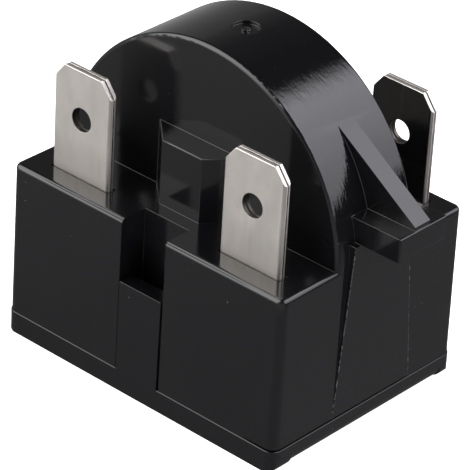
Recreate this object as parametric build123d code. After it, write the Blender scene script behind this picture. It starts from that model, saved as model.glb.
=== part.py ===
from build123d import *
from math import cos, radians, sin, tan
import os

# Compressor start relay with a ceramic start pill, in millimetres, +Z up.
# The origin is the centre of the flat underside, the front is -Y and the right is +X.

# Moulded casing
case_width = 29.8
case_depth = 22.2
seam_z = 2.0
deck_z = 15.9
case_wall = 1.4
deck_wall = 1.5
draft_angle = 0.55
case_corner_radius = 0.85
deck_edge_radius = 0.4

# Arched drum that holds the start pill
drum_depth = 9.05
drum_wall = 1.4
drum_rim_radius = 0.35
partition_gap = 0.25
gate_mark_diameter = 2.4
gate_mark_depth = 0.3
gate_pip_diameter = 0.8
gate_pip_height = 0.2

# Wedge-sided boss on the front of the drum
boss_base_width = 9.3
boss_front_width = 4.3
boss_reach = 2.35
boss_height = 5.85
boss_edge_radius = 0.12

# Shelf with a sloping rib on the right of the drum, and the tapered pad below it
ledge_reach = 19.05
ledge_top_z = 19.95
ledge_thickness = 2.1
ledge_width = 5.6
ledge_offset_y = 0.33
ledge_edge_radius = 0.15
rib_thickness = 1.85
rib_top_angle = 44.8
rib_toe_height = 0.3
pad_rise = 0.5
pad_foot_front_reach = 3.98
pad_foot_rear_reach = 5.58
pad_head_front_reach = 3.12
pad_head_rear_reach = 3.58

# Snap tongues of the cover, their channels and the notches above them
notch_width = 4.8
notch_depth = 2.8
latch_wall = 1.2
channel_depth = 1.6
shelf_z = 8.6
tongue_top_z = 10.27
tongue_thickness = 1.45
tongue_side_gap = 0.13
barb_reach = 0.75
barb_gap = 0.05

# Base cover
cover_proud = 0.1
cover_corner_radius = 1.0
cover_edge_radius = 0.06
underside_round = 1.1
underside_corner_round = 0.8
underside_round_front_stop = 2.1
underside_round_rear_stop = 1.5
rim_height = 1.6
rim_thickness = 1.0
rim_gap = 0.1
collar_wall = 0.65
collar_height = 1.5
collar_gap = 0.15
prop_width = 1.6
prop_spacing = 4.0

# Quick-connect tabs
tab_width = 6.3
tab_thickness = 0.8
tab_tip_z = 25.6
tab_tip_width = 4.1
tab_tip_drop = 1.4
tab_side_round = 0.3
tab_hole_diameter = 2.05
tab_hole_drop = 4.3
fold_groove_width = 0.1
fold_groove_depth = 0.18
tab_wall_gap = 0.4
front_tab_gap = 0.86
rear_tab_gap = 0.1
tab_slit_gap = 0.1
shoulder_extra = 0.7
shoulder_height = 2.0
bend_radius = 0.2
foot_pin_reach = 2.35
front_foot_margin = 2.2
rear_foot_length = 4.4
rear_foot_reach = 2.9
hold_down_reach = 0.6
hold_down_margin = 0.4
hold_down_gap = 0.44
rear_hold_down_width = 1.6
rear_hold_down_gap = 0.2

# Pin sockets for the two compressor pins
pin_spacing = 12.7
tab_to_pin_row = 2.84
pin_row_to_drum = 0.995
pin_hole_diameter = 3.8
pin_hole_lead = 0.5
socket_bore = 3.2
socket_wall = 0.5
socket_depth = 5.7
socket_cap = 0.8
socket_slit = 0.6
socket_slit_end = 0.5
clip_wall = 0.4
clip_height = 3.0
clip_rise = 2.0
clip_gap = 1.2

# Start pill and its stack
pill_diameter = 16.5
pill_thickness = 2.5
pill_edge_bevel = 0.2
carrier_thickness = 2.3
carrier_gap = 0.15
carrier_sill = 0.9
carrier_crown = 1.067
stack_foot_gap = 0.2
plate_thickness = 0.4
plate_margin = 0.25
plate_leg_width = 3.0
plate_toe_reach = 1.5
sheet_thickness = 0.3
spring_inner_diameter = 6.0
spring_margin = 0.75
spring_thickness = 0.25
spring_slot_width = 1.6
spring_slot_start = 4.4
spring_slots = 6

# Rivets and the strip that links the two tabs on the run side
socket_rivet_shank = 1.8
socket_rivet_head = 3.2
socket_rivet_tail = 2.8
link_rivet_shank = 1.4
link_rivet_head = 2.2
rivet_head_height = 0.45
rivet_tail_height = 0.3
link_width = 1.8
link_socket_gap = 0.35
link_front_rivet_offset = 0.9
link_rear_rivet_offset = 1.8
link_end_margin = 1.1

# Places across the depth, from the front wall to the rear one
inner_half_width = case_width / 2 - case_wall
inner_half_depth = case_depth / 2 - case_wall
front_tab_y = front_tab_gap + tab_thickness / 2 - inner_half_depth
rear_tab_y = inner_half_depth - rear_tab_gap - tab_thickness / 2
pin_row_y = front_tab_y + tab_to_pin_row
drum_front_y = pin_row_y + pin_row_to_drum
drum_rear_y = drum_front_y + drum_depth
drum_centre_y = (drum_front_y + drum_rear_y) / 2
chamber_front_y = drum_front_y + drum_wall
chamber_rear_y = drum_rear_y - drum_wall
ledge_centre_y = drum_centre_y + ledge_offset_y
underside_round_front_y = underside_round_front_stop - case_depth / 2
underside_round_rear_y = case_depth / 2 - underside_round_rear_stop
front_plate_y = chamber_front_y + sheet_thickness
rear_plate_y = chamber_rear_y - sheet_thickness - plate_thickness
front_foot_end_y = pin_row_y + front_foot_margin
rear_foot_end_y = rear_tab_y - rear_foot_length
link_front_rivet_y = pin_row_y + link_front_rivet_offset
link_rear_rivet_y = rear_tab_y - link_rear_rivet_offset

# Places across the width
draft_slope = tan(radians(draft_angle))
deck_half_width = case_width / 2 - draft_slope * (deck_z - seam_z)
drum_radius = deck_half_width
chamber_radius = drum_radius - drum_wall
sheet_radius = chamber_radius - carrier_gap
prop_centre_x = prop_spacing / 2
tower_half_width = notch_width / 2 + latch_wall
tower_depth = notch_depth + latch_wall
half_shoulder = tab_width / 2 + shoulder_extra
tab_centre_x = inner_half_width - tab_wall_gap - half_shoulder
tab_places = ((-tab_centre_x, front_tab_y), (tab_centre_x, front_tab_y), (tab_centre_x, rear_tab_y))
pin_x = pin_spacing / 2
socket_outer_radius = socket_bore / 2 + socket_wall
link_centre_x = pin_x + socket_outer_radius + link_socket_gap + link_width / 2
foot_inner_x = pin_x - foot_pin_reach
foot_outer_x = link_centre_x + link_width / 2
rear_foot_inner_x = link_centre_x - rear_foot_reach

# Heights, from the sockets up to the drum that the pill's stack fills
deck_underside_z = deck_z - deck_wall
ledge_underside_z = ledge_top_z - ledge_thickness
clip_base_z = seam_z + clip_rise
socket_top_z = seam_z + socket_depth + socket_cap
foot_top_z = socket_top_z + tab_thickness
leg_top_z = foot_top_z + plate_thickness
partition_z = leg_top_z + rivet_head_height + partition_gap
stack_foot_z = leg_top_z + stack_foot_gap
pocket_radius = pill_diameter / 2 + carrier_gap
pill_centre_z = stack_foot_z + carrier_sill + pocket_radius
drum_centre_z = pill_centre_z + pocket_radius + carrier_crown - sheet_radius

# Sizes that follow the pill
plate_diameter = pill_diameter + 2 * plate_margin
spring_outer_diameter = pill_diameter - 2 * spring_margin
spring_height = (chamber_rear_y - chamber_front_y - pill_thickness) / 2 - sheet_thickness - plate_thickness


def span_box(x_span, y_span, z_span):
    """Box between a low and a high limit on each axis."""
    size = [high - low for low, high in (x_span, y_span, z_span)]
    centre = [(high + low) / 2 for low, high in (x_span, y_span, z_span)]
    return Pos(*centre) * Box(*size)


def upright(radius, x, y, low_z, high_z):
    """Upright cylinder between two heights."""
    return Pos(x, y, (low_z + high_z) / 2) * Cylinder(radius, high_z - low_z)


def along_y(sketch, front_y, rear_y):
    """Solid with a front-view outline, between two depths."""
    return extrude(Plane.XZ.offset(-rear_y) * sketch, amount=rear_y - front_y, dir=(0, -1, 0))


def along_x(sketch, left_x, right_x):
    """Solid with a side-view outline, between two places across the width."""
    return extrude(Plane.YZ.offset(left_x) * sketch, amount=right_x - left_x, dir=(1, 0, 0))


def arch(radius, foot_z):
    """Front-view outline with a round top about the drum's axis and straight legs."""
    leg_height = drum_centre_z - foot_z
    crown = Pos(0, drum_centre_z) * Circle(radius)
    crown = crown & (Pos(0, drum_centre_z + radius) * Rectangle(2 * radius, 2 * radius))
    legs = Pos(0, foot_z + leg_height / 2) * Rectangle(2 * radius, leg_height)
    return crown + legs


def case_block():
    """Drafted outer block of the casing, from the seam to the deck."""
    footprint = RectangleRounded(case_width, case_depth, case_corner_radius)
    return extrude(Pos(0, 0, seam_z) * footprint, amount=deck_z - seam_z, taper=draft_angle)


def rounded_case_block():
    """Outer block with its deck edges rounded."""
    block = case_block()
    deck_edges = block.faces().sort_by(Axis.Z)[-1].edges()
    return fillet(deck_edges, deck_edge_radius)


def drum():
    """Arched drum with both rims rounded and the moulding gate's mark on its crown."""
    shell = along_y(arch(drum_radius, partition_z), drum_front_y, drum_rear_y)
    shell = fillet(shell.edges().filter_by(GeomType.CIRCLE), drum_rim_radius)
    crown_z = drum_centre_z + drum_radius
    shell -= upright(gate_mark_diameter / 2, 0, drum_centre_y, crown_z - gate_mark_depth, crown_z + drum_wall)
    pip_top_z = crown_z - gate_mark_depth + gate_pip_height
    return shell + upright(gate_pip_diameter / 2, 0, drum_centre_y, crown_z - drum_wall, pip_top_z)


def boss():
    """Wedge-sided boss on the drum's front face, standing on the deck."""
    front_y = drum_front_y - boss_reach
    outline = Polygon(
        (-boss_base_width / 2, drum_front_y),
        (-boss_front_width / 2, front_y),
        (boss_front_width / 2, front_y),
        (boss_base_width / 2, drum_front_y),
        align=None,
    )
    body = extrude(Pos(0, 0, deck_z) * outline, amount=boss_height)
    top_edges = body.faces().sort_by(Axis.Z)[-1].edges().sort_by(Axis.Y)[:-1]
    body = fillet(top_edges, boss_edge_radius)
    root = span_box((-boss_front_width / 2, boss_front_width / 2), (drum_front_y, chamber_front_y),
                    (deck_z, deck_z + boss_height))
    return body + root


def ledge():
    """Shelf that stands out from the right of the drum."""
    front_y = ledge_centre_y - ledge_width / 2
    rear_y = ledge_centre_y + ledge_width / 2
    shelf = span_box((deck_half_width / 2, ledge_reach), (front_y, rear_y), (ledge_underside_z, ledge_top_z))
    outer_edges = shelf.faces().sort_by(Axis.X)[-1].edges()
    return fillet(outer_edges, ledge_edge_radius)


def rib():
    """Sloping rib from the ledge's edge up to the drum."""
    top_x = drum_radius * cos(radians(rib_top_angle))
    top_z = drum_centre_z + drum_radius * sin(radians(rib_top_angle))
    toe_x = ledge_reach - ledge_edge_radius
    outline = Polygon(
        (top_x, top_z),
        (toe_x, ledge_top_z + rib_toe_height),
        (toe_x, ledge_top_z - ledge_edge_radius),
        (deck_half_width / 2, ledge_top_z - ledge_edge_radius),
        align=None,
    )
    return along_y(outline, ledge_centre_y - rib_thickness / 2, ledge_centre_y + rib_thickness / 2)


def pad():
    """Pad on the right wall, level with it at the seam and proud of it under the ledge."""
    head_x = deck_half_width + pad_rise
    front_view = Polygon(
        (inner_half_width, seam_z),
        (case_width / 2, seam_z),
        (head_x, ledge_underside_z),
        (inner_half_width, ledge_underside_z),
        align=None,
    )
    foot_front_y = drum_centre_y - pad_foot_front_reach
    foot_rear_y = drum_centre_y + pad_foot_rear_reach
    side_view = Polygon(
        (foot_front_y, seam_z),
        (foot_rear_y, seam_z),
        (drum_centre_y + pad_head_rear_reach, ledge_underside_z),
        (drum_centre_y - pad_head_front_reach, ledge_underside_z),
        align=None,
    )
    wedge = along_y(front_view, foot_front_y, foot_rear_y)
    return wedge & along_x(side_view, 0, head_x)


def latch_tower(side):
    """Solid tower inside the casing that backs a tongue's channel, in front or behind."""
    limits = sorted((side * case_depth / 2, side * (case_depth / 2 - tower_depth)))
    return span_box((-tower_half_width, tower_half_width), limits, (seam_z, deck_z))


def latch_cut(side):
    """Tongue channel and the deeper notch above its shelf."""
    outside_y = side * (case_depth / 2 + cover_proud)
    half_width = notch_width / 2
    channel = sorted((outside_y, side * (case_depth / 2 - channel_depth)))
    notch = sorted((outside_y, side * (case_depth / 2 - notch_depth)))
    lower = span_box((-half_width, half_width), channel, (seam_z, shelf_z))
    upper = span_box((-half_width, half_width), notch, (shelf_z, deck_z))
    return lower + upper


def hold_downs():
    """Ribs under the deck that keep the terminals' feet from lifting."""
    ribs = []
    front_y = front_tab_y + tab_thickness / 2 + hold_down_gap
    for side in (-1, 1):
        x_limits = sorted((side * tower_half_width, side * (foot_inner_x + hold_down_reach)))
        y_limits = (front_y, pin_row_y + hold_down_margin)
        ribs.append(span_box(x_limits, y_limits, (foot_top_z, deck_underside_z)))
    rear_x = link_centre_x - link_rivet_head / 2 - rear_hold_down_gap
    rear_y = rear_tab_y - tab_thickness / 2 - bend_radius - rear_hold_down_gap
    ribs.append(span_box((rear_x - rear_hold_down_width, rear_x), (drum_rear_y, rear_y),
                         (foot_top_z, deck_underside_z)))
    return ribs


def casing_cavity():
    """Hollow of the casing: one lower chamber, two pockets under the deck and the drum chamber."""
    width = (-inner_half_width, inner_half_width)
    cavity = span_box(width, (-inner_half_depth, inner_half_depth), (seam_z, partition_z))
    cavity += span_box(width, (-inner_half_depth, drum_front_y), (partition_z, deck_underside_z))
    cavity += span_box(width, (drum_rear_y, inner_half_depth), (partition_z, deck_underside_z))
    cavity += along_y(arch(chamber_radius, seam_z), chamber_front_y, chamber_rear_y)
    for side in (-1, 1):
        cavity -= latch_tower(side)
    for hold_down in hold_downs():
        cavity -= hold_down
    for x, y in tab_places:
        cavity += shoulder_room(x, y)
    return cavity


def shoulder_room(x, y):
    """Room under the deck for a terminal's shoulders."""
    return span_box((x - half_shoulder, x + half_shoulder), (y - tab_thickness / 2, y + tab_thickness / 2),
                    (partition_z, deck_underside_z))


def tab_slit(x, y):
    """Slit in the deck that a tab passes through."""
    half_width = tab_width / 2 + tab_slit_gap
    half_thickness = tab_thickness / 2 + tab_slit_gap
    return span_box((x - half_width, x + half_width), (y - half_thickness, y + half_thickness),
                    (deck_underside_z, deck_z))


def casing():
    """Moulded casing, one piece with its drum, boss, ledge, rib and pad."""
    body = rounded_case_block() + drum() + boss() + ledge() + rib() + pad()
    body -= casing_cavity()
    for side in (-1, 1):
        body -= latch_cut(side)
    for x, y in tab_places:
        body -= tab_slit(x, y)
    return body


def tongue(side):
    """Snap tongue with its barb, carrying the cover's outside up with the wall's draft."""
    half_width = notch_width / 2 - tongue_side_gap
    outside_y = case_depth / 2 + cover_proud
    top_y = outside_y - draft_slope * (tongue_top_z - seam_z)
    inside_y = case_depth / 2 - tongue_thickness
    barb_y = inside_y - barb_reach
    barb_z = shelf_z + barb_gap
    outline = Polygon(
        (side * outside_y, seam_z / 2),
        (side * inside_y, seam_z / 2),
        (side * inside_y, barb_z),
        (side * barb_y, barb_z),
        (side * inside_y, tongue_top_z),
        (side * top_y, tongue_top_z),
        (side * outside_y, seam_z),
        align=None,
    )
    return along_x(outline, -half_width, half_width)


def rim():
    """Locating rim that stands up inside the casing, open at the latch towers."""
    outer_width = 2 * (inner_half_width - rim_gap)
    outer_depth = 2 * (inner_half_depth - rim_gap)
    frame = Rectangle(outer_width, outer_depth)
    frame -= Rectangle(outer_width - 2 * rim_thickness, outer_depth - 2 * rim_thickness)
    frame -= Rectangle(2 * (tower_half_width + rim_gap), case_depth)
    return extrude(Pos(0, 0, seam_z) * frame, amount=rim_height)


def underside_rounding(side, radius, front_y, rear_y):
    """Cutter that rounds a side's bottom edge between two places along it."""
    edge_x = case_width / 2 + cover_proud
    corner = Pos(edge_x - radius / 2, radius / 2) * Rectangle(radius, radius)
    corner -= Pos(edge_x - radius, radius) * Circle(radius)
    cutter = along_y(corner, front_y, rear_y)
    return cutter if side > 0 else mirror(cutter, about=Plane.YZ)


def base_cover():
    """Moulded cover with its tongues, rim, socket collars and the props for the pill's stack."""
    footprint = RectangleRounded(case_width + 2 * cover_proud, case_depth + 2 * cover_proud, cover_corner_radius)
    cover = extrude(footprint, amount=seam_z)
    cover = fillet(cover.faces().sort_by(Axis.Z)[-1].edges(), cover_edge_radius)
    cover += rim()
    for side in (-1, 1):
        cover += tongue(side)
        cover -= underside_rounding(side, underside_corner_round, -case_depth, case_depth)
        cover -= underside_rounding(side, underside_round, underside_round_front_y, underside_round_rear_y)
        prop_x = side * prop_centre_x
        cover += span_box((prop_x - prop_width / 2, prop_x + prop_width / 2),
                          (chamber_front_y, chamber_rear_y), (seam_z, stack_foot_z))
        collar_bore = socket_outer_radius + collar_gap
        cover += upright(collar_bore + collar_wall, side * pin_x, pin_row_y, seam_z, seam_z + collar_height)
        cover -= upright(collar_bore, side * pin_x, pin_row_y, seam_z, seam_z + collar_height)
        cover -= upright(pin_hole_diameter / 2, side * pin_x, pin_row_y, 0, seam_z)
        cover -= pin_lead_in(side * pin_x)
    return cover


def pin_lead_in(x):
    """Cone that opens a pin hole at the underside."""
    mouth_radius = pin_hole_diameter / 2 + pin_hole_lead
    cone = Cone(mouth_radius, pin_hole_diameter / 2, pin_hole_lead)
    return Pos(x, pin_row_y, pin_hole_lead / 2) * cone


def angle_profile(corner_y, toe_y, bottom_z, top_z, thickness):
    """Side view of a strip folded once: an upright leg, a bend and a foot that runs to toe_y."""
    inward = thickness if toe_y > corner_y else -thickness
    outline = Polygon(
        (corner_y, bottom_z),
        (toe_y, bottom_z),
        (toe_y, bottom_z + thickness),
        (corner_y + inward, bottom_z + thickness),
        (corner_y + inward, top_z),
        (corner_y, top_z),
        align=None,
    )
    outer = outline.vertices().sort_by_distance((corner_y, bottom_z, 0))[0]
    outline = fillet(outer, bend_radius + thickness)
    inner = outline.vertices().sort_by_distance((corner_y + inward, bottom_z + thickness, 0))[0]
    return fillet(inner, bend_radius)


def tab_outline(x):
    """Front view of a tab with its narrowed tip and the shoulders that stop under the deck."""
    half_width = tab_width / 2
    half_tip = tab_tip_width / 2
    blade = Polygon(
        (x - half_width, socket_top_z),
        (x + half_width, socket_top_z),
        (x + half_width, tab_tip_z - tab_tip_drop),
        (x + half_tip, tab_tip_z),
        (x - half_tip, tab_tip_z),
        (x - half_width, tab_tip_z - tab_tip_drop),
        align=None,
    )
    shoulder_z = deck_underside_z - shoulder_height / 2
    shoulders = Pos(x, shoulder_z) * Rectangle(2 * half_shoulder, shoulder_height)
    hole = Pos(x, tab_tip_z - tab_hole_drop) * Circle(tab_hole_diameter / 2)
    return blade + shoulders - hole


def fold_grooves(x, blade_y):
    """Groove between the two folded layers, along a tab's cut tip and inside its hole."""
    outline = tab_outline(x)
    ring = outline - offset(outline, amount=-fold_groove_depth)
    tip = Pos(x, tab_tip_z - tab_tip_drop / 2) * Rectangle(tab_width, tab_tip_drop)
    hole_zone = Pos(x, tab_tip_z - tab_hole_drop) * Rectangle(tab_tip_width, tab_tip_width)
    half_groove = fold_groove_width / 2
    return along_y(ring & (tip + hole_zone), blade_y - half_groove, blade_y + half_groove)


def terminal(x, blade_y, foot_x_span, foot_end_y):
    """Tab and foot of one brass strip, folded double with round folds down the tab's sides."""
    outside = 1 if foot_end_y < blade_y else -1
    corner_y = blade_y + outside * tab_thickness / 2
    left_x = min(foot_x_span[0], x - half_shoulder)
    right_x = max(foot_x_span[1], x + half_shoulder)
    profile = angle_profile(corner_y, foot_end_y, socket_top_z, tab_tip_z, tab_thickness)
    strip = along_x(profile, left_x, right_x)
    foot_y_span = sorted((corner_y, foot_end_y))
    foot_zone = span_box(foot_x_span, foot_y_span, (socket_top_z, foot_top_z + bend_radius))
    blade_zone = along_y(tab_outline(x), corner_y - tab_thickness, corner_y + tab_thickness)
    body = strip & (foot_zone + blade_zone)
    side_edges = body.edges().filter_by(Axis.Z).filter_by(lambda edge: edge.center().Z > deck_z)
    return fillet(side_edges, tab_side_round) - fold_grooves(x, blade_y)


def start_terminal():
    """Front left tab, riveted over the start pin's socket."""
    body = terminal(-tab_centre_x, front_tab_y, (-foot_outer_x, -foot_inner_x), front_foot_end_y)
    return body - rivet_hole(-pin_x, pin_row_y, socket_rivet_shank)


def run_terminal():
    """Front right tab, riveted over the run pin's socket and to the link strip."""
    body = terminal(tab_centre_x, front_tab_y, (foot_inner_x, foot_outer_x), front_foot_end_y)
    body -= rivet_hole(pin_x, pin_row_y, socket_rivet_shank)
    return body - rivet_hole(link_centre_x, link_front_rivet_y, link_rivet_shank)


def line_terminal():
    """Rear right tab, riveted to the link strip."""
    body = terminal(tab_centre_x, rear_tab_y, (rear_foot_inner_x, foot_outer_x), rear_foot_end_y)
    return body - rivet_hole(link_centre_x, link_rear_rivet_y, link_rivet_shank)


def run_link_strip():
    """Flat strip under the feet of the run and line terminals."""
    half_width = link_width / 2
    strip = span_box((link_centre_x - half_width, link_centre_x + half_width),
                     (link_front_rivet_y - link_end_margin, link_rear_rivet_y + link_end_margin),
                     (socket_top_z - tab_thickness, socket_top_z))
    for y in (link_front_rivet_y, link_rear_rivet_y):
        strip -= rivet_hole(link_centre_x, y, link_rivet_shank)
    return fillet(strip.edges().filter_by(Axis.Z).filter_by(GeomType.LINE), half_width - tab_thickness / 4)


def rivet_hole(x, y, shank):
    """Hole through a stack of strips."""
    return upright(shank / 2, x, y, seam_z + socket_depth - tab_thickness, leg_top_z + tab_thickness)


def pin_socket(x):
    """Drawn brass cup, slit into two fingers that grip a compressor pin."""
    cup = upright(socket_outer_radius, x, pin_row_y, seam_z, socket_top_z)
    cup -= upright(socket_bore / 2, x, pin_row_y, seam_z, socket_top_z - socket_cap)
    half_slit = socket_slit / 2
    reach = socket_outer_radius + socket_wall
    bore_top_z = seam_z + socket_depth
    cup -= span_box((x - half_slit, x + half_slit), (pin_row_y - reach, pin_row_y + reach),
                    (seam_z, bore_top_z - socket_slit_end))
    cup -= upright(socket_rivet_tail / 2, x, pin_row_y, bore_top_z, bore_top_z + rivet_tail_height)
    return cup - rivet_hole(x, pin_row_y, socket_rivet_shank)


def socket_clip(x):
    """Steel spring ring round a socket, open at the back."""
    outer_radius = socket_outer_radius + clip_wall
    ring = upright(outer_radius, x, pin_row_y, clip_base_z, clip_base_z + clip_height)
    ring -= upright(socket_outer_radius, x, pin_row_y, clip_base_z, clip_base_z + clip_height)
    opening = span_box((x - clip_gap / 2, x + clip_gap / 2), (pin_row_y, pin_row_y + outer_radius),
                       (clip_base_z, clip_base_z + clip_height))
    return ring - opening


def ptc_pill():
    """Ceramic start pill with bevelled edges, upright in the drum."""
    pill = Pos(0, drum_centre_y, pill_centre_z) * Rot(90, 0, 0) * Cylinder(pill_diameter / 2, pill_thickness)
    return chamfer(pill.edges().filter_by(GeomType.CIRCLE), pill_edge_bevel)


def pill_carrier():
    """Moulded plate that fills the drum chamber round the pill."""
    outline = arch(sheet_radius, stack_foot_z)
    outline -= Pos(0, pill_centre_z) * Circle(pocket_radius)
    half_thickness = carrier_thickness / 2
    return along_y(outline, drum_centre_y - half_thickness, drum_centre_y + half_thickness)


def insulating_sheet(front_y):
    """Mica sheet between a contact plate and the drum's wall."""
    return along_y(arch(sheet_radius, stack_foot_z), front_y, front_y + sheet_thickness)


def contact_plate(plate_y, leg_x):
    """Round contact plate with a leg folded forward over the terminal's foot."""
    corner_y = plate_y + plate_thickness
    toe_y = pin_row_y - plate_toe_reach
    half_leg = plate_leg_width / 2
    profile = angle_profile(corner_y, toe_y, foot_top_z, pill_centre_z, plate_thickness)
    leg = along_x(profile, leg_x - half_leg, leg_x + half_leg)
    disc = Pos(0, pill_centre_z) * Circle(plate_diameter / 2)
    plate = along_y(disc, plate_y, corner_y) + leg
    return plate - rivet_hole(leg_x, pin_row_y, socket_rivet_shank)


def contact_spring(base_y, turn):
    """Slotted dished spring between a contact plate and the pill."""
    inner = spring_inner_diameter / 2
    outer = spring_outer_diameter / 2
    section = Polygon(
        (inner, spring_height - spring_thickness),
        (outer, 0),
        (outer, spring_thickness),
        (inner, spring_height),
        align=None,
    )
    dish = revolve(Plane.XZ * section, Axis.Z)
    slot_length = outer - spring_slot_start + spring_slot_width
    slot_x = spring_slot_start + slot_length / 2
    for index in range(spring_slots):
        slot = Pos(slot_x, 0, spring_height / 2) * Box(slot_length, spring_slot_width, 2 * spring_height)
        dish -= Rot(0, 0, (index + 0.5) * 360 / spring_slots) * slot
    return Pos(0, base_y, pill_centre_z) * Rot(turn, 0, 0) * dish


def rivet(x, y, shank, head, tail, low_z, high_z):
    """Set rivet through a stack between two heights, with a rounded head on top."""
    body = upright(shank / 2, x, y, low_z, high_z)
    cap = upright(head / 2, x, y, high_z, high_z + rivet_head_height)
    cap = fillet(cap.edges().sort_by(Axis.Z)[-1], rivet_head_height / 2)
    return body + cap + upright(tail / 2, x, y, low_z - rivet_tail_height, low_z)


def socket_rivets():
    """Two rivets that join socket, foot and contact leg."""
    low_z = seam_z + socket_depth + rivet_tail_height
    rivets = []
    for side in (-1, 1):
        rivets.append(rivet(side * pin_x, pin_row_y, socket_rivet_shank, socket_rivet_head, socket_rivet_tail,
                            low_z, leg_top_z))
    return Compound(rivets)


def link_rivets():
    """Two rivets that join the link strip to the feet above it."""
    low_z = socket_top_z - tab_thickness
    rivets = []
    for y in (link_front_rivet_y, link_rear_rivet_y):
        rivets.append(rivet(link_centre_x, y, link_rivet_shank, link_rivet_head, link_rivet_head,
                            low_z, foot_top_z))
    return Compound(rivets)


pieces = {
    "casing": casing(),
    "base_cover": base_cover(),
    "start_terminal": start_terminal(),
    "run_terminal": run_terminal(),
    "line_terminal": line_terminal(),
    "run_link_strip": run_link_strip(),
    "start_pin_socket": pin_socket(-pin_x),
    "run_pin_socket": pin_socket(pin_x),
    "start_socket_clip": socket_clip(-pin_x),
    "run_socket_clip": socket_clip(pin_x),
    "ptc_pill": ptc_pill(),
    "pill_carrier": pill_carrier(),
    "front_contact_plate": contact_plate(front_plate_y, -pin_x),
    "rear_contact_plate": contact_plate(rear_plate_y, pin_x),
    "front_contact_spring": contact_spring(front_plate_y + plate_thickness, -90),
    "rear_contact_spring": contact_spring(rear_plate_y, 90),
    "front_insulating_sheet": insulating_sheet(chamber_front_y),
    "rear_insulating_sheet": insulating_sheet(chamber_rear_y - sheet_thickness),
    "socket_rivets": socket_rivets(),
    "link_rivets": link_rivets(),
}

os.makedirs("parts", exist_ok=True)
for name, shape in pieces.items():
    export_step(shape, f"parts/{name}.step")
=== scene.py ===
from math import cos, pi, radians, sin

import bpy
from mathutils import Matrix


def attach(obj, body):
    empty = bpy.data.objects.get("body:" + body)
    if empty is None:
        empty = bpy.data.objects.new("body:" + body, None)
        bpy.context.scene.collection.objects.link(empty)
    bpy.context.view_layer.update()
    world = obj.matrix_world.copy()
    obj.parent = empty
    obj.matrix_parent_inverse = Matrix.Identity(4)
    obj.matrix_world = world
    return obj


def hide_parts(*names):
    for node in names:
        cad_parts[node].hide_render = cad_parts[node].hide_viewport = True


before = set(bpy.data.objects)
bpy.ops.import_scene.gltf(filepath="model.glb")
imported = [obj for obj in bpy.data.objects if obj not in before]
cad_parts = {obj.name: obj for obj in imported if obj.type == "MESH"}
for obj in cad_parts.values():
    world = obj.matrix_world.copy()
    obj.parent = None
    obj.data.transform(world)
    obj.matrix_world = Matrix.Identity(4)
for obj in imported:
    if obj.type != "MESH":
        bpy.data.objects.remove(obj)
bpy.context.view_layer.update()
millimetre = 0.001


# The base cover closes the casing from below and carries the pin sockets.
# It is moulded in glossy black plastic from a polished mould, and its two tongues
# snap up into channels in the casing.
moulding_black = (0.0042, 0.0042, 0.0050, 1.0)
moulding_index = 1.6
moulding_roughness = (0.06, 0.12)
moulding_waves = 0.010 * millimetre
sink_per_mm = 0.30
peel_per_mm = 2.6
peel_share = 0.14
smear_per_mm = 0.5
smear_stretch = (1, 1, 0.4)
smear_limits = (0.42, 0.70)
dust_grey = (0.10, 0.10, 0.095, 1.0)
speck_per_mm = 6.5
speck_limits = (0.855, 0.875)
dusty_patch_per_mm = 0.35
dusty_patch_limits = (0.50, 0.60)
cover_edge_round = 0.025 * millimetre
edge_segments = 3
edge_angle = radians(40)
flat_angle = radians(0.3)
flat_face_weight = 50
weld_distance = 0.0005 * millimetre
sliver_share = 0.2


def joined(tree, socket, value):
    """Links a value to a socket, or sets the socket to a plain number."""
    if isinstance(value, (int, float)):
        socket.default_value = value
    else:
        tree.links.new(value, socket)


def calculated(tree, operation, first, second=0.0):
    """Result of one calculation on values or numbers."""
    node = tree.nodes.new("ShaderNodeMath")
    node.operation = operation
    joined(tree, node.inputs[0], first)
    joined(tree, node.inputs[1], second)
    return node.outputs["Value"]


def product(tree, value, *factors):
    """Product of a value and one or more values or numbers."""
    for factor in factors:
        value = calculated(tree, "MULTIPLY", value, factor)
    return value


def offset(tree, value, middle):
    """Distance of a value from a middle, on either side of it."""
    return calculated(tree, "ABSOLUTE", calculated(tree, "SUBTRACT", value, middle))


def reach(tree, first, second):
    """Distance from an axis, worked out from the two offsets across it."""
    squares = [calculated(tree, "POWER", value, 2) for value in (first, second)]
    return calculated(tree, "SQRT", calculated(tree, "ADD", *squares))


def ranged(tree, value, limits, results=(0, 1), smooth=False):
    """Maps a value between two limits to a value between two results, clamped."""
    node = tree.nodes.new("ShaderNodeMapRange")
    if smooth:
        node.interpolation_type = "SMOOTHSTEP"
    for name, number in zip(("From Min", "From Max", "To Min", "To Max"), (*limits, *results)):
        node.inputs[name].default_value = number
    tree.links.new(value, node.inputs["Value"])
    return node.outputs["Result"]


def line_mask(tree, distance, half_width):
    """Mask of a line from its half width, with a fade as wide again."""
    return ranged(tree, distance, (half_width, 2 * half_width), (1, 0))


def blended(tree, factor, first, second):
    """Colour between two colours, each a plain one or a socket."""
    node = tree.nodes.new("ShaderNodeMix")
    node.data_type = "RGBA"
    tree.links.new(factor, node.inputs["Factor"])
    for name, colour in (("A", first), ("B", second)):
        if isinstance(colour, tuple):
            node.inputs[name].default_value = colour
        else:
            tree.links.new(colour, node.inputs[name])
    return node.outputs["Result"]


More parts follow.
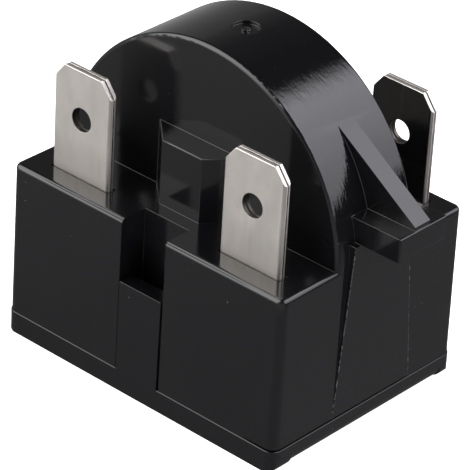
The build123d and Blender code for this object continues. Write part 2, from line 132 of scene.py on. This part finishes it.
def grain(tree, per_millimetre, stretch=(1, 1, 1), detail=0, roughness=0.5):
    """Noise fixed to the piece, in cycles per millimetre, stretched along the axes."""
    place = tree.nodes.new("ShaderNodeTexCoord").outputs["Object"]
    mapping = tree.nodes.new("ShaderNodeMapping")
    mapping.inputs["Scale"].default_value = [per_millimetre * axis / millimetre for axis in stretch]
    noise = tree.nodes.new("ShaderNodeTexNoise")
    noise.inputs["Scale"].default_value = 1.0
    noise.inputs["Detail"].default_value = detail
    noise.inputs["Roughness"].default_value = roughness
    tree.links.new(place, mapping.inputs["Vector"])
    tree.links.new(mapping.outputs["Vector"], noise.inputs["Vector"])
    return noise.outputs["Fac"]


def place_on_axes(tree):
    """The piece's own X, Y and Z, in millimetres."""
    split = tree.nodes.new("ShaderNodeSeparateXYZ")
    tree.links.new(tree.nodes.new("ShaderNodeTexCoord").outputs["Object"], split.inputs["Vector"])
    return [calculated(tree, "MULTIPLY", split.outputs[axis], 1 / millimetre) for axis in "XYZ"]


def new_group(name, outputs, inputs=()):
    """Empty group of shader nodes with numbers as its inputs and outputs."""
    group = bpy.data.node_groups.new(name, "ShaderNodeTree")
    for label in inputs:
        group.interface.new_socket(label, in_out="INPUT", socket_type="NodeSocketFloat")
    for label in outputs:
        group.interface.new_socket(label, in_out="OUTPUT", socket_type="NodeSocketFloat")
    return group


def close_group(group, values):
    """Joins the finished values to a group's outputs, in their order."""
    output = group.nodes.new("NodeGroupOutput")
    for socket, value in zip(output.inputs, values):
        group.links.new(value, socket)
    return group


def placed_group(tree, group):
    """Places a group in a material and returns its node."""
    node = tree.nodes.new("ShaderNodeGroup")
    node.node_tree = group
    return node


def new_material(name):
    """Makes a node material and returns it with its tree and its shader."""
    material = bpy.data.materials.new(name)
    material.use_nodes = True
    tree = material.node_tree
    tree.nodes.clear()
    shader = tree.nodes.new("ShaderNodeBsdfPrincipled")
    output = tree.nodes.new("ShaderNodeOutputMaterial")
    tree.links.new(shader.outputs["BSDF"], output.inputs["Surface"])
    return material, tree, shader


def feed(tree, shader, name, value):
    """Links a value to one of a shader's inputs, in place of what fed it."""
    tree.links.new(value, shader.inputs[name])


def fed_by(shader, name):
    """Value that feeds one of a shader's inputs."""
    return shader.inputs[name].links[0].from_socket


def raised(tree, shader, height, depth):
    """Gives a shader a relief that is a given depth from low to high."""
    bump = tree.nodes.new("ShaderNodeBump")
    bump.inputs["Distance"].default_value = depth
    tree.links.new(height, bump.inputs["Height"])
    feed(tree, shader, "Normal", bump.outputs["Normal"])


def give_material(piece, material):
    """Puts one material on a whole piece."""
    piece.data.materials.clear()
    piece.data.materials.append(material)


def moulded_skin_group():
    """Skin of a polished moulding: shallow sink waves, orange peel, smears and dust."""
    group = new_group("moulded_skin", ("Waves", "Smears", "Dust"))
    peel = product(group, grain(group, peel_per_mm, detail=2), peel_share)
    waves = calculated(group, "ADD", grain(group, sink_per_mm, detail=1), peel)
    smears = ranged(group, grain(group, smear_per_mm, smear_stretch, detail=4), smear_limits)
    specks = ranged(group, grain(group, speck_per_mm), speck_limits)
    dusty_patches = ranged(group, grain(group, dusty_patch_per_mm), dusty_patch_limits)
    return close_group(group, (waves, smears, product(group, specks, dusty_patches)))


moulded_skin = moulded_skin_group()


def moulded_plastic(name, colour, roughness):
    """Moulding with its skin. Returns the material, its tree, its shader and the skin's waves."""
    material, tree, shader = new_material(name)
    skin = placed_group(tree, moulded_skin)
    feed(tree, shader, "Base Color", blended(tree, skin.outputs["Dust"], colour, dust_grey))
    feed(tree, shader, "Roughness", ranged(tree, skin.outputs["Smears"], (0, 1), roughness))
    shader.inputs["IOR"].default_value = moulding_index
    return material, tree, shader, skin.outputs["Waves"]


def mark_sharp_edges(mesh, sliver_area):
    """Marks the edges where two faces meet sharply, leaving out slivers on curved surfaces."""
    faces_at = {}
    for face in mesh.polygons:
        for key in face.edge_keys:
            faces_at.setdefault(key, []).append(face)
    weights = mesh.attributes.new("bevel_weight_edge", "FLOAT", "EDGE")
    for edge in mesh.edges:
        faces = faces_at.get(edge.key, [])
        if len(faces) != 2 or min(face.area for face in faces) < sliver_area:
            continue
        if faces[0].normal.angle(faces[1].normal, 0.0) > edge_angle:
            weights.data[edge.index].value = 1.0
            edge.use_edge_sharp = True


def soften_edges(node_name, edge_round, material, curved_area=0.0):
    """Welds a copy of a CAD node into one skin and rounds its sharp edges a little.

    Faces no larger than curved_area belong to curved surfaces and aren't merged with others.
    """
    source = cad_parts[node_name]
    piece = bpy.data.objects.new(node_name + "_skin", source.data.copy())
    bpy.context.scene.collection.objects.link(piece)
    bpy.ops.object.select_all(action="DESELECT")
    bpy.context.view_layer.objects.active = piece
    piece.select_set(True)
    bpy.ops.mesh.customdata_custom_splitnormals_clear()
    bpy.ops.object.mode_set(mode="EDIT")
    bpy.ops.mesh.select_all(action="SELECT")
    bpy.ops.mesh.remove_doubles(threshold=weld_distance)
    bpy.ops.mesh.select_mode(type="FACE")
    bpy.ops.mesh.select_all(action="DESELECT")
    bpy.ops.object.mode_set(mode="OBJECT")
    for face in piece.data.polygons:
        face.select = face.area > curved_area
    bpy.ops.object.mode_set(mode="EDIT")
    bpy.ops.mesh.dissolve_limited(angle_limit=flat_angle)
    bpy.ops.object.mode_set(mode="OBJECT")
    bpy.ops.object.shade_smooth()
    mark_sharp_edges(piece.data, sliver_share * curved_area)
    bevel = piece.modifiers.new("edge_round", "BEVEL")
    bevel.width = edge_round
    bevel.segments = edge_segments
    bevel.limit_method = "WEIGHT"
    bevel.use_clamp_overlap = False
    bpy.ops.object.modifier_apply(modifier=bevel.name)
    flatten = piece.modifiers.new("flat_faces", "WEIGHTED_NORMAL")
    flatten.mode = "FACE_AREA_WITH_ANGLE"
    flatten.weight = flat_face_weight
    flatten.keep_sharp = True
    bpy.ops.object.modifier_apply(modifier=flatten.name)
    give_material(piece, material)
    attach(piece, "root")
    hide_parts(node_name)
    return piece


cover_plastic, cover_tree, cover_shader, cover_waves = moulded_plastic(
    "cover_plastic", moulding_black, moulding_roughness)
raised(cover_tree, cover_shader, cover_waves, moulding_waves)
base_cover = soften_edges("base_cover", cover_edge_round, cover_plastic)


# The pin sockets are drawn brass cups, slit into two fingers that grip a compressor pin.
# The link strip and the rivets are of the same plain brass, dulled by handling.
brass_light = (0.72, 0.55, 0.28, 1.0)
brass_dull = (0.46, 0.31, 0.13, 1.0)
brass_roughness = (0.22, 0.38)
rolled_relief = 0.004 * millimetre
scratch_per_mm = 7.0
scratch_stretch = (1, 1, 0.03)
scratch_limits = (0.30, 0.70)
stain_per_mm = 0.7
stain_stretch = (1, 1, 0.55)
stain_limits = (0.35, 0.70)
pit_per_mm = 4.0
pit_limits = (0.80, 0.84)


def rolled_metal_group():
    """Rolled strip: fine scratches along Z, soft stains and small pits."""
    group = new_group("rolled_metal", ("Scratches", "Stains", "Pits"))
    scratches = grain(group, scratch_per_mm, scratch_stretch, detail=3, roughness=0.65)
    stains = ranged(group, grain(group, stain_per_mm, stain_stretch, detail=3), stain_limits)
    pits = ranged(group, grain(group, pit_per_mm), pit_limits)
    return close_group(group, (scratches, stains, pits))


rolled_metal = rolled_metal_group()


def strip_metal(name, light, dull, roughness):
    """Rolled strip in a light and a dull tone. Returns the material, its tree, shader and group."""
    material, tree, shader = new_material(name)
    surface = placed_group(tree, rolled_metal)
    feed(tree, shader, "Base Color", blended(tree, surface.outputs["Stains"], light, dull))
    feed(tree, shader, "Roughness", ranged(tree, surface.outputs["Scratches"], scratch_limits, roughness))
    shader.inputs["Metallic"].default_value = 1.0
    return material, tree, shader, surface


def give_strip_metal(node_names, material_name, light, dull, roughness):
    """Makes a rolled strip with its relief and puts it on the named CAD nodes."""
    material, tree, shader, surface = strip_metal(material_name, light, dull, roughness)
    raised(tree, shader, surface.outputs["Scratches"], rolled_relief)
    for node_name in node_names:
        give_material(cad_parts[node_name], material)


give_strip_metal(("start_pin_socket", "run_pin_socket", "run_link_strip", "socket_rivets", "link_rivets"),
                 "plain_brass", brass_light, brass_dull, brass_roughness)


# The spring clips, contact plates and dished contact springs are punched from stainless
# strip, which keeps the fine lines of its rolling and a few heat tints.
steel_light = (0.58, 0.57, 0.55, 1.0)
steel_tinted = (0.44, 0.40, 0.34, 1.0)
steel_roughness = (0.20, 0.34)

give_strip_metal(("start_socket_clip", "run_socket_clip", "front_contact_plate", "rear_contact_plate",
                  "front_contact_spring", "rear_contact_spring"),
                 "spring_strip", steel_light, steel_tinted, steel_roughness)


# The start pill is pressed and fired dark ceramic, with a silver coat on both round
# faces that stops short of the edge.
ceramic_dark = (0.045, 0.043, 0.045, 1.0)
ceramic_pale = (0.11, 0.105, 0.10, 1.0)
ceramic_per_mm = 1.8
ceramic_mottle_limits = (0.35, 0.70)
ceramic_grain_limits = (0.3, 0.7)
ceramic_roughness = (0.45, 0.75)
ceramic_relief = 0.012 * millimetre
silver_coat = (0.74, 0.72, 0.68, 1.0)
pill_middle_y = -0.08
pill_centre_z = 19.2
pill_half_thickness = 1.25
coat_depth = 0.03
coat_radius = 7.6
coat_fade = 0.15

fired_ceramic, ceramic_tree, ceramic_shader = new_material("fired_ceramic")
pill_x, pill_y, pill_z = place_on_axes(ceramic_tree)
from_axis = reach(ceramic_tree, pill_x, offset(ceramic_tree, pill_z, pill_centre_z))
on_face = ranged(ceramic_tree, offset(ceramic_tree, pill_y, pill_middle_y),
                 (pill_half_thickness - 2 * coat_depth, pill_half_thickness - coat_depth))
in_coat = ranged(ceramic_tree, from_axis, (coat_radius, coat_radius + coat_fade), (1, 0))
coated = product(ceramic_tree, on_face, in_coat)
ceramic_grain = grain(ceramic_tree, ceramic_per_mm, detail=4)
ceramic_mottle = ranged(ceramic_tree, ceramic_grain, ceramic_mottle_limits)
ceramic_base = blended(ceramic_tree, ceramic_mottle, ceramic_dark, ceramic_pale)
feed(ceramic_tree, ceramic_shader, "Base Color", blended(ceramic_tree, coated, ceramic_base, silver_coat))
feed(ceramic_tree, ceramic_shader, "Metallic", coated)
feed(ceramic_tree, ceramic_shader, "Roughness",
     ranged(ceramic_tree, ceramic_grain, ceramic_grain_limits, ceramic_roughness))
raised(ceramic_tree, ceramic_shader, ceramic_grain, ceramic_relief)
give_material(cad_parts["ptc_pill"], fired_ceramic)


# The carrier holds the pill upright in the drum. It is moulded in a pale plastic
# that stands the heat, left in its natural colour.
carrier_pale = (0.58, 0.55, 0.46, 1.0)
carrier_roughness = (0.42, 0.60)
carrier_relief = 0.02 * millimetre

carrier_plastic, carrier_tree, carrier_shader, carrier_waves = moulded_plastic(
    "carrier_plastic", carrier_pale, carrier_roughness)
raised(carrier_tree, carrier_shader, carrier_waves, carrier_relief)
give_material(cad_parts["pill_carrier"], carrier_plastic)


# Two sheets pressed from mica flakes keep the contact plates apart from the drum's walls.
# They are cut from a larger sheet, and only the plates hold them in place.
mica_amber = (0.40, 0.33, 0.23, 1.0)
mica_silver = (0.60, 0.56, 0.48, 1.0)
mica_roughness = (0.25, 0.55)
mica_relief = 0.010 * millimetre
flakes_per_mm = 0.9

pressed_mica, mica_tree, mica_shader = new_material("pressed_mica")
flakes = mica_tree.nodes.new("ShaderNodeTexVoronoi")
flakes.inputs["Scale"].default_value = flakes_per_mm / millimetre
mica_tree.links.new(mica_tree.nodes.new("ShaderNodeTexCoord").outputs["Object"], flakes.inputs["Vector"])
flake_tone = mica_tree.nodes.new("ShaderNodeSeparateColor")
mica_tree.links.new(flakes.outputs["Color"], flake_tone.inputs["Color"])
feed(mica_tree, mica_shader, "Base Color",
     blended(mica_tree, flake_tone.outputs["Red"], mica_amber, mica_silver))
feed(mica_tree, mica_shader, "Roughness",
     ranged(mica_tree, flake_tone.outputs["Green"], (0, 1), mica_roughness))
raised(mica_tree, mica_shader, flake_tone.outputs["Blue"], mica_relief)
for sheet_name in ("front_insulating_sheet", "rear_insulating_sheet"):
    give_material(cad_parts[sheet_name], pressed_mica)


# The three terminals are brass strip folded double to the tab's thickness and tin plated.
# Rolling leaves fine lines up the tabs, and the closed fold shows as a dark line along
# the middle of every cut edge.
tin_light = (0.83, 0.785, 0.735, 1.0)
tin_dull = (0.74, 0.70, 0.655, 1.0)
front_tin_roughness = (0.40, 0.52)
tab_half_thickness = 0.4
front_tab_middle = -8.44
tab_edge_round = 0.05 * millimetre
fold_dark = (0.10, 0.085, 0.07, 1.0)
fold_half_width = 0.045
fold_groove = -8
fold_per_mm = 0.8
fold_limits = (0.35, 0.60)
fold_strength = (0.55, 1)
# Painted shade: the tabs' colour darkens towards their foot, standing in for the dark deck that they mirror
# there.
painted_foot_shade = (0.50, 0.465, 0.43, 1.0)
foot_shade_share = 0.75
foot_shade_from_z = 19.8
foot_shade_to_z = 16.2
# Painted shade: the wall of each tab's hole is painted dark, for the dark that it mirrors.
painted_hole_shade = (0.13, 0.12, 0.11, 1.0)
hole_x = 9.25
hole_z = 21.3
hole_radius = 1.025
hole_shade_fade = (0.02, 0.06)


def fold_line_group():
    """Dark line of the closed fold, at a given place across the strip, fainter in places."""
    group = new_group("fold_line", ("Line",), ("Middle",))
    _, across, _ = place_on_axes(group)
    middle = group.nodes.new("NodeGroupInput").outputs["Middle"]
    line = line_mask(group, offset(group, across, middle), fold_half_width)
    strength = ranged(group, grain(group, fold_per_mm, detail=2), fold_limits, fold_strength)
    return close_group(group, (product(group, line, strength),))


fold_line = fold_line_group()


def folded_tin(name, middle, roughness):
    """Tin plate on folded strip whose fold lies at one place across the piece."""
    material, tree, shader, surface = strip_metal(name, tin_light, tin_dull, roughness)
    fold = placed_group(tree, fold_line)
    fold.inputs["Middle"].default_value = middle
    place_x, _, place_z = place_on_axes(tree)
    # Painted shade, darker towards the foot of the tab.
    foot_shade_mask = ranged(tree, place_z, (foot_shade_to_z, foot_shade_from_z), (foot_shade_share, 0))
    foot_shaded = blended(tree, foot_shade_mask, fed_by(shader, "Base Color"), painted_foot_shade)
    pitted = blended(tree, surface.outputs["Pits"], foot_shaded, tin_dull)
    # Painted shade on the hole's wall.
    from_hole = reach(tree, offset(tree, calculated(tree, "ABSOLUTE", place_x), hole_x),
                      offset(tree, place_z, hole_z))
    hole_shade_mask = ranged(tree, from_hole, [hole_radius + fade for fade in hole_shade_fade], (1, 0))
    hole_shaded = blended(tree, hole_shade_mask, pitted, painted_hole_shade)
    feed(tree, shader, "Base Color", blended(tree, fold.outputs["Line"], hole_shaded, fold_dark))
    groove = product(tree, fold.outputs["Line"], fold_groove)
    raised(tree, shader, calculated(tree, "ADD", surface.outputs["Scratches"], groove), rolled_relief)
    return material, tree, shader


front_tin, _, _ = folded_tin("front_tin_plate", front_tab_middle, front_tin_roughness)

# The rear tab's broad front face came off the rolls brighter than its cut sides, and the
# strip's closed seam runs up the middle of it.
rear_tin_roughness = (0.06, 0.14)
rear_dull_roughness = 0.36
rear_tab_middle = 9.20
rear_face_fade = (0.005, 0.06)
seam_half_width = 0.03
seam_above_hole = (1.2, 2.0)
seam_dull_share = 0.6

rear_tin, rear_tree, rear_shader = folded_tin("rear_tin_plate", rear_tab_middle, rear_tin_roughness)
rear_x, rear_y, rear_z = place_on_axes(rear_tree)
rear_face_y = rear_tab_middle - tab_half_thickness
off_front_face = ranged(rear_tree, rear_y, [rear_face_y + fade for fade in rear_face_fade])
seam_line = product(
    rear_tree, line_mask(rear_tree, offset(rear_tree, rear_x, hole_x), seam_half_width),
    ranged(rear_tree, rear_z, [hole_z + height for height in seam_above_hole]))
dull_share = calculated(rear_tree, "MAXIMUM", off_front_face, product(rear_tree, seam_line, seam_dull_share))
feed(rear_tree, rear_shader, "Roughness",
     calculated(rear_tree, "ADD", fed_by(rear_shader, "Roughness"),
                product(rear_tree, dull_share, rear_dull_roughness)))
tab_tins = {"start_terminal": front_tin, "run_terminal": front_tin, "line_terminal": rear_tin}
for tab_name, tab_tin in tab_tins.items():
    terminal = soften_edges(tab_name, tab_edge_round, tab_tin)


# The casing is one moulding with its drum, boss, ledge, rib and pad, dropped over the
# rest. Its mould is polished, so flat faces mirror the tabs beside them, and the drum's
# half of the mould was turned, which leaves fine rings round the drum.
casing_roughness = (0.11, 0.16)
casing_edge_round = 0.03 * millimetre
casing_curved_area = 0.02 * millimetre ** 2
drum_axis_z = 15.45
drum_outside_radius = 14.767
drum_skin = (0.02, 0.10)
drum_polish = 0.05
above_ledge_z = (17.0, 18.0)
ring_per_mm = 3.4
ring_stretch = (0.28, 1, 0.28)
ring_strength_x = (2, 8)
ring_strength = (0.3, 2.6)
rib_middle_y = 0.25
rib_half_thickness = 0.925
rib_side_fade = 0.02
rib_above_drum = (0.05, 0.15)
rib_grain_per_mm = 5.0
rib_grain_strength = 0.35

casing_plastic, casing_tree, casing_shader, casing_waves = moulded_plastic(
    "casing_plastic", moulding_black, casing_roughness)
case_x, case_y, case_z = place_on_axes(casing_tree)
drum_reach = reach(casing_tree, case_x, offset(casing_tree, case_z, drum_axis_z))
on_drum = ranged(casing_tree, offset(casing_tree, drum_reach, drum_outside_radius), drum_skin, (1, 0))
above_ledge = ranged(casing_tree, case_z, above_ledge_z)
turned_rings = grain(casing_tree, ring_per_mm, ring_stretch, detail=2, roughness=0.7)
ring_depth = product(casing_tree, above_ledge, ranged(casing_tree, case_x, ring_strength_x, ring_strength))
ring_height = product(casing_tree, on_drum, ring_depth, turned_rings)

on_rib = product(
    casing_tree,
    ranged(casing_tree, drum_reach, [drum_outside_radius + height for height in rib_above_drum]), above_ledge,
    ranged(casing_tree, offset(casing_tree, case_y, rib_middle_y),
           (rib_half_thickness - rib_side_fade, rib_half_thickness), (1, 0)))
rib_height = product(casing_tree, on_rib, rib_grain_strength, grain(casing_tree, rib_grain_per_mm, detail=2))
relief = calculated(casing_tree, "ADD", casing_waves, calculated(casing_tree, "ADD", ring_height, rib_height))
raised(casing_tree, casing_shader, relief, moulding_waves)

# The side pad's upright edges carry a dotted painted highlight in light grey. A painted
# shadow, black and without reflection, marks the gap between casing and cover on the right side,
# from just round the front corner to the pad's rear edge.
seam_z = 2.0
pad_front_y = (-4.06, -3.20)
pad_rear_y = (5.50, 3.50)
pad_top_z = 17.85
pad_top_fade = 0.3
pad_face_x = 14.9
pad_lean = 0.0232
pad_skin = (-0.07, -0.04)
edge_highlight_half_width = 0.05
painted_highlight_grey = (0.085, 0.085, 0.085, 1.0)
edge_highlight_per_mm = 3.0
edge_highlight_stretch = (0.2, 0.2, 1)
edge_highlight_limits = (0.45, 0.62)
# Painted shadow: a black strip of the casing just above the seam, for the shade in the gap.
painted_gap_shadow = (0.001, 0.001, 0.001, 1.0)
gap_shadow_height = 0.13
gap_shadow_fade = 0.02
gap_shadow_from_x = (11.5, 12.5)
gap_shadow_to_y = (4.5, 5.5)


def pad_edge(bottom_y, top_y):
    """Mask of one of the pad's upright edges, from its places at the seam and at the top."""
    slope = (top_y - bottom_y) / (pad_top_z - seam_z)
    edge_y = calculated(casing_tree, "ADD", product(casing_tree, case_z, slope), bottom_y - slope * seam_z)
    return line_mask(casing_tree, offset(casing_tree, case_y, edge_y), edge_highlight_half_width)


# Painted highlight: dotted light grey along the pad's upright edges.
edge_highlight_dots = ranged(
    casing_tree, grain(casing_tree, edge_highlight_per_mm, edge_highlight_stretch, detail=3, roughness=0.7), edge_highlight_limits)
face_x = calculated(casing_tree, "ADD", product(casing_tree, case_z, pad_lean),
                    pad_face_x - pad_lean * seam_z)
on_pad = product(
    casing_tree, ranged(casing_tree, calculated(casing_tree, "SUBTRACT", case_x, face_x), pad_skin),
    ranged(casing_tree, case_z, (pad_top_z - pad_top_fade, pad_top_z), (1, 0)))
pad_edges = calculated(casing_tree, "MAXIMUM", pad_edge(*pad_front_y), pad_edge(*pad_rear_y))
edge_highlight_mask = product(casing_tree, edge_highlight_dots, on_pad, pad_edges)
# Painted shadow of the parting gap, on the right side and round the front corner.
gap_shadow_top_z = seam_z + gap_shadow_height
gap_shadow_mask = product(
    casing_tree, ranged(casing_tree, case_x, gap_shadow_from_x), ranged(casing_tree, case_y, gap_shadow_to_y, (1, 0)),
    ranged(casing_tree, case_z, (gap_shadow_top_z, gap_shadow_top_z + gap_shadow_fade), (1, 0)))
edge_highlighted = blended(casing_tree, edge_highlight_mask, fed_by(casing_shader, "Base Color"), painted_highlight_grey)
feed(casing_tree, casing_shader, "Base Color", blended(casing_tree, gap_shadow_mask, edge_highlighted, painted_gap_shadow))
# Painted shadow: black and fully metallic, so the strip reflects nothing.
feed(casing_tree, casing_shader, "Metallic", gap_shadow_mask)
feed(casing_tree, casing_shader, "Roughness",
     calculated(casing_tree, "SUBTRACT", fed_by(casing_shader, "Roughness"),
                product(casing_tree, on_drum, drum_polish)))
casing = soften_edges("casing", casing_edge_round, casing_plastic, casing_curved_area)


# The photographer's table is a white sheet, lit so evenly that the relay throws almost
# no shadow on it. The sheet keeps out of reflections, where the studio's dark floor shows.
floor_half_width = 3.0
floor_roughness = 0.9
floor_glow = 0.93
white = (1.0, 1.0, 1.0, 1.0)
paper_light = (0.92, 0.92, 0.92, 1.0)
paper_dull = (0.90, 0.90, 0.90, 1.0)
paper_per_mm = 0.05
paper_limits = (0.3, 0.7)

bpy.ops.object.select_all(action="DESELECT")
bpy.ops.mesh.primitive_plane_add(size=2 * floor_half_width, location=(0, 0, 0))
floor = bpy.context.active_object
floor.name = "floor"
floor.visible_glossy = False
floor_paint, floor_tree, floor_shader = new_material("floor_paint")
paper = ranged(floor_tree, grain(floor_tree, paper_per_mm, detail=2), paper_limits)
feed(floor_tree, floor_shader, "Base Color", blended(floor_tree, paper, paper_light, paper_dull))
floor_shader.inputs["Roughness"].default_value = floor_roughness
floor_shader.inputs["Emission Color"].default_value = white
floor_shader.inputs["Emission Strength"].default_value = floor_glow
give_material(floor, floor_paint)


# The studio has one round diffuser in front on the left, with its glow on the table below,
# one large soft box behind on the right, a dim wall and a dark ceiling. Azimuth 0 is in
# front and 90 on the right.
wall_by_height = (
    (-90, 0.13), (-32, 0.17), (-28, 0.26), (-24, 0.33), (-17, 0.38), (-10, 0.36), (-2, 0.31),
    (5, 0.26), (13, 0.23), (20, 0.19), (27, 0.12), (34, 0.07), (46, 0.03), (90, 0.03))
right_wall_by_height = ((-90, 0.16), (-30, 0.21), (-12, 0.10), (-3, 0.0), (90, 0.0))
box_by_height = (
    (-90, 1.7), (6, 1.75), (13, 1.85), (20, 2.1), (27, 2.45), (37, 2.75), (46, 3.3), (60, 3.6),
    (90, 3.6))
box_tint = (0.98, 0.97, 1.04)
brightest = 4.0
right_side = (62, 80, 160, 178)
box_rise_and_fall = (-1, 8, 60, 74)

world = bpy.data.worlds.new("studio")
bpy.context.scene.world = world
world.use_nodes = True
studio = world.node_tree
studio.nodes.clear()
direction = studio.nodes.new("ShaderNodeTexCoord").outputs["Generated"]
heading = studio.nodes.new("ShaderNodeSeparateXYZ")
studio.links.new(direction, heading.inputs["Vector"])
azimuth = calculated(studio, "ARCTAN2", heading.outputs["X"], product(studio, heading.outputs["Y"], -1))
elevation = calculated(studio, "ARCSINE", heading.outputs["Z"])


def by_height(steps):
    """Brightness that follows the height above the horizon, in degrees."""
    ramp = studio.nodes.new("ShaderNodeValToRGB")
    studio.links.new(ranged(studio, elevation, (-pi / 2, pi / 2)), ramp.inputs["Fac"])
    for _ in steps[1:-1]:
        ramp.color_ramp.elements.new(0.5)
    for element, (degrees, value) in zip(ramp.color_ramp.elements, steps):
        element.position = (degrees + 90) / 180
        element.color = (value / brightest, value / brightest, value / brightest, 1.0)
    return product(studio, ramp.outputs["Color"], brightest)


def window(angle, rise_from, rise_to, fall_from, fall_to):
    """Mask between two soft limits of an angle, in degrees."""
    rise = ranged(studio, angle, (radians(rise_from), radians(rise_to)), smooth=True)
    fall = ranged(studio, angle, (radians(fall_from), radians(fall_to)), (1, 0), smooth=True)
    return product(studio, rise, fall)


def soft_disc(heading_degrees, height_degrees, outer_degrees, inner_degrees, brightness):
    """Round diffuser with a soft edge."""
    turn = radians(heading_degrees)
    lift = radians(height_degrees)
    facing = studio.nodes.new("ShaderNodeVectorMath")
    facing.operation = "DOT_PRODUCT"
    facing.inputs[1].default_value = (sin(turn) * cos(lift), -cos(turn) * cos(lift), sin(lift))
    studio.links.new(direction, facing.inputs[0])
    return ranged(studio, facing.outputs["Value"], (cos(radians(outer_degrees)), cos(radians(inner_degrees))),
                  (0, brightness), smooth=True)


diffuser = soft_disc(
    heading_degrees=-45, height_degrees=36.5, outer_degrees=48, inner_degrees=15, brightness=3.4)
table_glow = soft_disc(
    heading_degrees=-34, height_degrees=-2, outer_degrees=25, inner_degrees=7, brightness=0.9)
on_right = window(azimuth, *right_side)
off_right = calculated(studio, "SUBTRACT", 1, on_right)
dim_wall = calculated(studio, "ADD", product(studio, by_height(wall_by_height), off_right),
                      product(studio, by_height(right_wall_by_height), on_right))
neutral_light = calculated(studio, "ADD", dim_wall, calculated(studio, "ADD", diffuser, table_glow))
box_light = product(studio, on_right, window(elevation, *box_rise_and_fall), by_height(box_by_height))
tinted_box = studio.nodes.new("ShaderNodeVectorMath")
tinted_box.operation = "SCALE"
tinted_box.inputs[0].default_value = box_tint
studio.links.new(box_light, tinted_box.inputs["Scale"])
all_light = studio.nodes.new("ShaderNodeVectorMath")
all_light.operation = "ADD"
studio.links.new(neutral_light, all_light.inputs[0])
studio.links.new(tinted_box.outputs["Vector"], all_light.inputs[1])
seen = studio.nodes.new("ShaderNodeLightPath").outputs["Is Camera Ray"]
background = studio.nodes.new("ShaderNodeBackground")
studio.links.new(blended(studio, seen, all_light.outputs["Vector"], white), background.inputs["Color"])
world_output = studio.nodes.new("ShaderNodeOutputWorld")
studio.links.new(background.outputs["Background"], world_output.inputs["Surface"])


# The camera stands to the front right and above, at the place found by fitting the
# photograph. Its lens is long, so the relay's upright edges stay nearly parallel.
camera_place = (0.14876, -0.17337, 0.14595)
camera_turn = (radians(59.401), radians(-2.976), radians(42.374))
camera_lens = 247.96
camera_sensor_width = 36.0
nearest_seen = 0.01
farthest_seen = 20.0

lens_data = bpy.data.cameras.new("camera")
lens_data.sensor_width = camera_sensor_width
lens_data.lens = camera_lens
lens_data.clip_start = nearest_seen
lens_data.clip_end = farthest_seen
camera = bpy.data.objects.new("camera", lens_data)
bpy.context.scene.collection.objects.link(camera)
camera.location = camera_place
camera.rotation_euler = camera_turn
bpy.context.scene.camera = camera
bpy.context.scene.view_settings.view_transform = "Standard"
